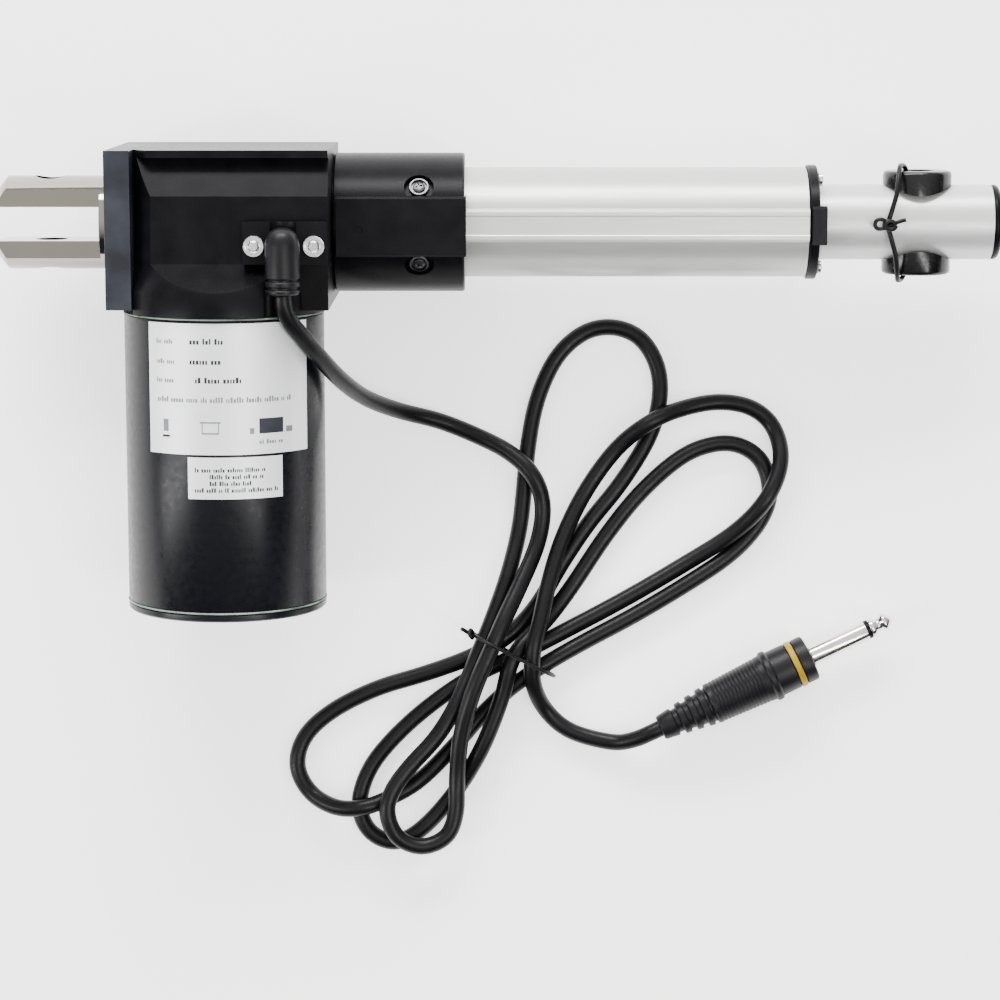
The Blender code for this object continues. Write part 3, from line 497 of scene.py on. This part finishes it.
def tube_outline():
    """Section of the outer tube: round, with a raised rib and a small step on each side of it."""
    made = []
    for k in range(240):
        a = 2 * math.pi * k / 240
        y, z = 17.5 * math.sin(a), 17.5 * math.cos(a)
        if z > 0 and abs(y) < 5.3:
            continue
        made.append((y, z))
    rib = [(-5.3, 17.0), (-5.1, 17.9), (-4.3, 18.75), (-3.2, 18.8), (-2.9, 18.55), (2.9, 18.55),
           (3.2, 18.8), (4.3, 18.75), (5.1, 17.9), (5.3, 17.0)]
    return rib + made


BOSSES = [(y, z) for y in (-14.0, 14.0) for z in (-6.9, 6.9)]
tube = prism("outer_extrusion", tube_outline(), 100.3, 242)
hollow = join(rod(90, 250, 15.0, steps=96), box("tool", 90, 250, -3.6, 3.6, 10, 17.3))
cut(tube, hollow, *[radial(12, 20, 1.9, a, SOCKET_SCREW_X) for a in SOCKET_ANGLES])
dress(tube, LOOKS["tube_aluminium"], nodes=["outer_tube"], sharp=20)

ring = turned("front_collar", [(242.3, 13.8), (242.3, 18.0), (242.6, 18.3), (245.1, 18.3),
                               (245.4, 18.0), (245.4, 12.8), (245.1, 12.5), (244.2, 12.5),
                               (244.2, 13.8)], steps=128)
join(ring, prism("tool", [(-6.1, 14.3), (6.1, 14.3), (6.1, 19.3), (5.4, 20), (-5.4, 20),
                          (-6.1, 19.3)], 242.8, 247.4))
cut(ring, *[rod(240, 250, 1.4, at=p, steps=24) for p in BOSSES])
dress(ring, LOOKS["black_nylon"], nodes=["front_ring"], edge=0.25)
for i, p in enumerate(BOSSES):
    dress(screw_piece(f"ring_screw_head_{i + 1}", 245.7, 1.3, 2.2, "X", p, 1, 0.2 + i),
          LOOKS["screw_steel"], nodes=[f"ring_screw_{i + 1}"])

inner = turned("rod_extrusion", [(104, 10), (104, 12), (301.5, 12), (301.6, 11.8), (301.6, 10)],
               steps=128)
cut(inner, rod(-20, 20, 7.3, "Y", (FRONT_PIN_X, 0), 64))
dress(inner, LOOKS["rod_aluminium"], "rod", ["inner_tube"])
for name, up in (("upper", 1), ("lower", -1)):
    bush = turned(f"pin_bush_{name}", [(up * 5.5, 0), (up * 5.5, 11), (up * 15.3, 11),
                                       (up * 16.1, 10.7), (up * 16.5, 10.0), (up * 16.5, 0)],
                  "Y", (FRONT_PIN_X, 0), 96)
    cut(bush, rod(250, 300, 19.2, at=(-6.9 * up, 0), steps=128))
    join(bush, turned("tool", [(up * 6.5, 0), (up * 6.5, 7), (up * 14, 7), (up * 14, 0)], "Y",
                      (FRONT_PIN_X, 0), 64))
    cut(bush, rod(-20, 20, 5.1, "Y", (FRONT_PIN_X, 0), 64))
    dress(bush, LOOKS["bush_black"], "rod", [f"front_bush_{name}"], sharp=40)
dress(turned("rod_cap", [(290, 0), (290, 9.7), (301.9, 9.7), (301.9, 11.9), (302.1, 12),
                         (302.9, 11.95), (303.7, 11.5), (304.1, 10.6), (304.2, 9.5), (304.2, 0)]),
      LOOKS["black_nylon"], "rod", ["rod_end_cap"], sharp=45)

HALF_TIE = [(267.3, 0, 13.9), (268.2, 4, 14.2), (269.8, 9.5, 13.2), (270.6, 14.5, 11.4),
            (271.2, 17.6, 8.6), (272.0, 18.3, 5.2), (273.2, 18.1, 2.6), (274.1, 17.0, 0.8),
            (274.5, 14.5, 0), (274.5, 0, 0)]
ship_route = HALF_TIE + [(x, -y, z) for x, y, z in HALF_TIE[-2:0:-1]]
strand("shipping_tie", smooth(ship_route, 6, True), 0.8, LOOKS["tie_black"], "rod", ["wire_tie"],
       closed=True, frame_of=REST)
TIE_KNOT = Vector((267.2, 0, 14.4))
knot = []
for k in range(15):
    turn = 2 * math.pi * k / 7
    knot.append(TIE_KNOT + Vector((1.5 * math.cos(turn) + 0.05 * k, 1.25 * math.sin(turn),
                                   0.5 + 0.14 * k)))
strand("shipping_tie_knot", smooth(knot, 4), 0.75, LOOKS["tie_black"], "rod",
       frame_of=REST)
loop = [(267.0, 0.6, 15.2), (265.2, 1.8, 15.7), (263.4, 1.5, 15.8), (262.9, 0.0, 15.7),
        (264.0, -1.2, 15.7), (266.2, -0.8, 15.5), (268.6, 0.3, 15.6), (271.0, 1.3, 15.9),
        (272.6, 1.7, 16.3)]
strand("shipping_tie_tail", smooth(loop, 5), 0.65, LOOKS["tie_black"], "rod",
       frame_of=REST)

# ---------------------------------------------------------------- motor
dress(turned("motor_shell", [(-117.6, 29.5), (-117.6, 31.4), (-117.4, 31.5), (-27.2, 31.5),
                             (-27, 31.4), (-27, 29.5)], "Y", MOTOR_AXIS, 160),
      LOOKS["motor_paint"], nodes=["motor_can"])
for name, node, low in (("gasket_collar", "collar_gasket", -26.75),
                        ("gasket_end", "end_gasket", -118.35)):
    dress(turned(name, [(low, 29), (low, 31.6), (low + 0.1, 31.7), (low + 0.4, 31.7),
                        (low + 0.5, 31.6), (low + 0.5, 29)], "Y", MOTOR_AXIS, 128),
          LOOKS["gasket"], nodes=[node])
dress(turned("motor_end", [(-121, 0), (-121, 5.2), (-120.6, 5.6), (-120.6, 9.6), (-121, 10),
                           (-121, 29.9), (-120.85, 30.9), (-120.3, 31.45), (-119.8, 31.5),
                           (-118.8, 31.5), (-118.6, 31.3), (-118.6, 28.6), (-115, 28.6),
                           (-115, 10), (-110, 10), (-110, 8.3), (-115.3, 8.3), (-115.3, 5),
                           (-117, 5), (-117, 0)], "Y", MOTOR_AXIS, 160),
      LOOKS["motor_paint"], nodes=["motor_end_cap"])

# ---------------------------------------------------------------- gland
gland = box("gland_moulding", 65, 90.9, -10.0, 3.1, 42.3, 47)
cut(gland, rod(-20, 10, 5.7, "Y", BOOT_AXIS, 64), rod(40, 50, 3.2, "Z", (77.5, -4), 32),
    *[rod(40, 50, 1.9, "Z", p, 32) for p in GLAND_SCREWS])
dress(gland, LOOKS["black_nylon"], nodes=["gland_plate"], edge=0.5)
boot = turned("lead_boot", [(-19, 0), (-19, 4.4), (-18.8, 4.9), (-18.3, 5.35), (-17.6, 5.4),
                            (-17.3, 5.2), (-17.1, 4.7), (-16.7, 4.7), (-16.5, 5.2), (-16.2, 5.4),
                            (-15.1, 5.4), (-14.8, 5.2), (-14.6, 4.7), (-14.2, 4.7), (-14.0, 5.2),
                            (-13.7, 5.4), (-3.7, 5.4), (-2.2, 5.15), (-0.8, 4.6), (0.4, 3.7),
                            (1.2, 2.5), (1.6, 1.2), (1.7, 0)], "Y", BOOT_AXIS, 64)
join(boot, rod(36, 48, 2.9, "Z", (77.5, -4), 40))
dress(boot, LOOKS["rubber_black"], nodes=["cable_boot"], edge=0.2)


# ---------------------------------------------------------------- rating labels
def on_motor(name, angle0, angle1, y0, y1, radius, thick, look, cells=24):
    """A thin sheet wrapped round the motor; angles are in degrees from the top, towards +x."""
    angles = [math.radians(angle0 + (angle1 - angle0) * k / cells) for k in range(cells + 1)]
    verts = [place("Y", MOTOR_AXIS, y, r, a)
             for r in (radius, radius + thick) for y in (y0, y1) for a in angles]
    n = cells + 1
    faces = []
    for k in range(cells):
        for a, b in ((0, 1), (1, 3), (3, 2), (2, 0)):
            faces.append([a * n + k, a * n + k + 1, b * n + k + 1, b * n + k])
    faces += [[0, n, 3 * n, 2 * n], [n - 1, 2 * n - 1, 4 * n - 1, 3 * n - 1]]
    return dress(solid(name, verts, faces), look)


LABEL_AT, LABEL_THICK = MOTOR_R + 0.03, 0.09
PRINT_AT, PRINT_THICK = MOTOR_R + 0.13, 0.03
on_motor("label_large", -42.5, 58, -68.2, -27.6, LABEL_AT, LABEL_THICK, LABEL, 64)
on_motor("label_small", -17, 38.3, -82, -69, LABEL_AT, LABEL_THICK, LABEL, 40)
words = random.Random(4)


def print_line(name, y, height, start, stop, look, letter=1.7):
    """A line of greeked print: short strokes in word-long groups, which spell nothing."""
    verts, faces, angle = [], [], start
    while angle < stop - letter:
        for _ in range(words.randint(2, 7)):
            wide = letter * words.uniform(0.4, 0.75)
            high = height * words.choice((0.68, 0.68, 1.0))
            if angle + wide > stop:
                break
            n = len(verts)
            corners = ((angle, y), (angle + wide, y), (angle + wide, y + high), (angle, y + high))
            verts += [place("Y", MOTOR_AXIS, v, r, math.radians(a))
                      for r in (PRINT_AT, PRINT_AT + PRINT_THICK) for a, v in corners]
            faces += [[n + k for k in side] for side in ((0, 1, 2, 3), (4, 5, 6, 7), (0, 1, 5, 4),
                                                         (1, 2, 6, 5), (2, 3, 7, 6), (3, 0, 4, 7))]
            angle += wide + letter * 0.3
        angle += letter * 0.8
    dress(solid(name, verts, faces), look)


FAINT = finish_material("label_print_faint", (0.2, 0.21, 0.23), 0.45, grain=2500, bump=0.05,
                        sheen=0.1)
for k, (y, start, stop) in enumerate(((-34, -15, 5), (-40.2, -15, 3), (-46, -12, 14))):
    print_line(f"large_word_{k}", y, 1.5, -36.4, -24, FAINT)
    print_line(f"large_value_{k}", y, 1.8, start, stop, PRINT, 2.0)
print_line("large_note", -52, 1.7, -36, 48, FAINT)
for k, (a0, a1, y0, y1) in enumerate(((-33, -28, -63, -62.3), (-32.2, -28.8, -61.2, -57.4),
                                      (-8.6, 1.2, -61.8, -61.3), (-8.6, -8.0, -61.3, -58.4),
                                      (0.6, 1.2, -61.3, -58.4), (-9.6, 2.2, -58.4, -57.9),
                                      (24, 39, -61.8, -57.1), (41, 45.5, -61.8, -60),
                                      (18.5, 21, -61.8, -60))):
    on_motor(f"label_large_mark_{k}", a0, a1, y0, y1, PRINT_AT, PRINT_THICK,
             PRINT if k in (0, 6) else FAINT, 8)
print_line("large_foot", -65, 1.3, 24, 40, FAINT)
for k, (y, start, stop) in enumerate(((-73.6, -13, 28), (-75.7, -4.5, 27), (-77.8, -4.5, 19),
                                      (-79.9, -13, 36))):
    print_line(f"small_{k}", y, 1.4, start, stop, PRINT, 1.5)


# ---------------------------------------------------------------- studio
def area_light(name, at, aim, size, watts):
    """A soft box at one point, turned towards another; sizes are in metres."""
    data = bpy.data.lights.new(name, "AREA")
    data.shape, data.size, data.size_y = "RECTANGLE", size[0], size[1]
    data.energy = watts
    light = bpy.data.objects.new(name, data)
    light.location = at
    light.rotation_euler = (Vector(aim) - Vector(at)).to_track_quat("-Z", "Y").to_euler()
    scene.collection.objects.link(light)


FLOOR = finish_material("floor_paper", (0.95, 0.95, 0.95), 0.9, grain=400, bump=0.02, mottle=0.004,
                        sheen=0.0)
# The paper is lit through from below, as a product table is.
lit_through = FLOOR.node_tree.nodes["Principled BSDF"]
lit_through.inputs["Emission Color"].default_value = (1, 1, 1, 1)
lit_through.inputs["Emission Strength"].default_value = 1.4
floor = box("floor", -4, 4, -4, 4, -0.02, -0.0006)
floor.data.materials.append(FLOOR)
world = bpy.data.worlds.new("studio")
scene.world = world
world.use_nodes = True
# A dim room under a pale ceiling: flat tops catch the ceiling, and sides stay darker.
tree = world.node_tree
background = tree.nodes["Background"]
around = tree.nodes.new("ShaderNodeTexCoord")
height = tree.nodes.new("ShaderNodeVectorMath")
height.operation = "DOT_PRODUCT"
height.inputs[1].default_value = (0, 0.5, 0.866)  # the pale part leans towards +y
ceiling = tree.nodes.new("ShaderNodeValToRGB")
tree.links.new(around.outputs["Generated"], height.inputs[0])
tree.links.new(height.outputs["Value"], ceiling.inputs["Fac"])
tree.links.new(ceiling.outputs["Color"], background.inputs["Color"])
dim, pale = ceiling.color_ramp.elements
dim.position, dim.color = 0.2, (0.04, 0.042, 0.05, 1)
pale.position, pale.color = 0.85, (1.0, 0.985, 0.95, 1)
background.inputs["Strength"].default_value = 1.5
area_light("key", (-0.2, 1.45, 0.85), (0, 0.03, 0), (1.6, 0.4), 62)
area_light("left", (-1.25, -0.4, 0.8), (-0.05, -0.08, 0), (0.3, 1.0), 17)
area_light("right", (0.55, -0.4, 1.2), (-0.05, -0.08, 0), (0.2, 1.0), 11)
